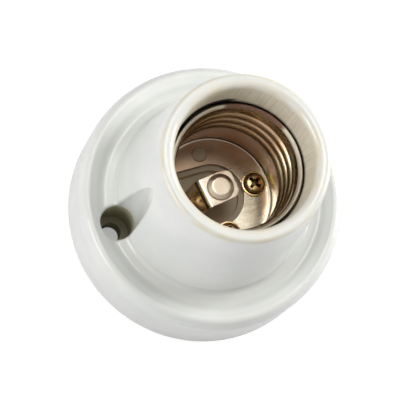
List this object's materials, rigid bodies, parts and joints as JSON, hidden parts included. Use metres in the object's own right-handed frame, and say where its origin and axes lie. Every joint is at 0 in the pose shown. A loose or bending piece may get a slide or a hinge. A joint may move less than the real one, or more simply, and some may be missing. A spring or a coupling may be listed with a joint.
{
  "type": "ceramic lamp holder",
  "caption": "Surface-mounting glazed porcelain lamp holder with a round base, tapered tower, rolled screw sleeve, sprung centre contact and wire terminals.",
  "frame": {"origin": "centre of the flat underside of the base", "axes": "+Z out of the mouth along the lamp's axis, +X towards the fixing hole on the centre contact's side, the two fixing holes lie on the X axis"},
  "size_m": [0.059, 0.059, 0.0475],
  "materials": {
    "glazed_porcelain": "glossy clear glaze over white porcelain, bare and greyer in the bore and the fixing wells",
    "nickel_plate": "bright nickel plating on thin sheet, with brownish stains",
    "yellow_zinc": "yellow zinc plating with a faint iridescence",
    "brass_strip": "bare pressed brass"
  },
  "bodies": {
    "holder": {"porcelain_body": "glazed_porcelain", "threaded_sleeve": "nickel_plate", "sleeve_plate": "nickel_plate", "centre_contact": "nickel_plate", "shell_screw": "yellow_zinc", "side_shell_screw": "yellow_zinc", "side_shell_nut": "yellow_zinc", "contact_screw": "yellow_zinc", "live_terminal": "brass_strip", "neutral_terminal": "brass_strip"},
    "live_clamp": {"live_clamp_screw": "yellow_zinc", "live_clamp_washer": "nickel_plate"},
    "neutral_clamp": {"neutral_clamp_screw": "yellow_zinc", "neutral_clamp_washer": "nickel_plate"}
  },
  "joints": [
    {"name": "live_clamp_travel", "type": "slide", "parent": "holder", "child": "live_clamp", "axis": [0, 0, -1], "range_m": [0, 0.002]},
    {"name": "neutral_clamp_travel", "type": "slide", "parent": "holder", "child": "neutral_clamp", "axis": [0, 0, -1], "range_m": [0, 0.002]}
  ]
}
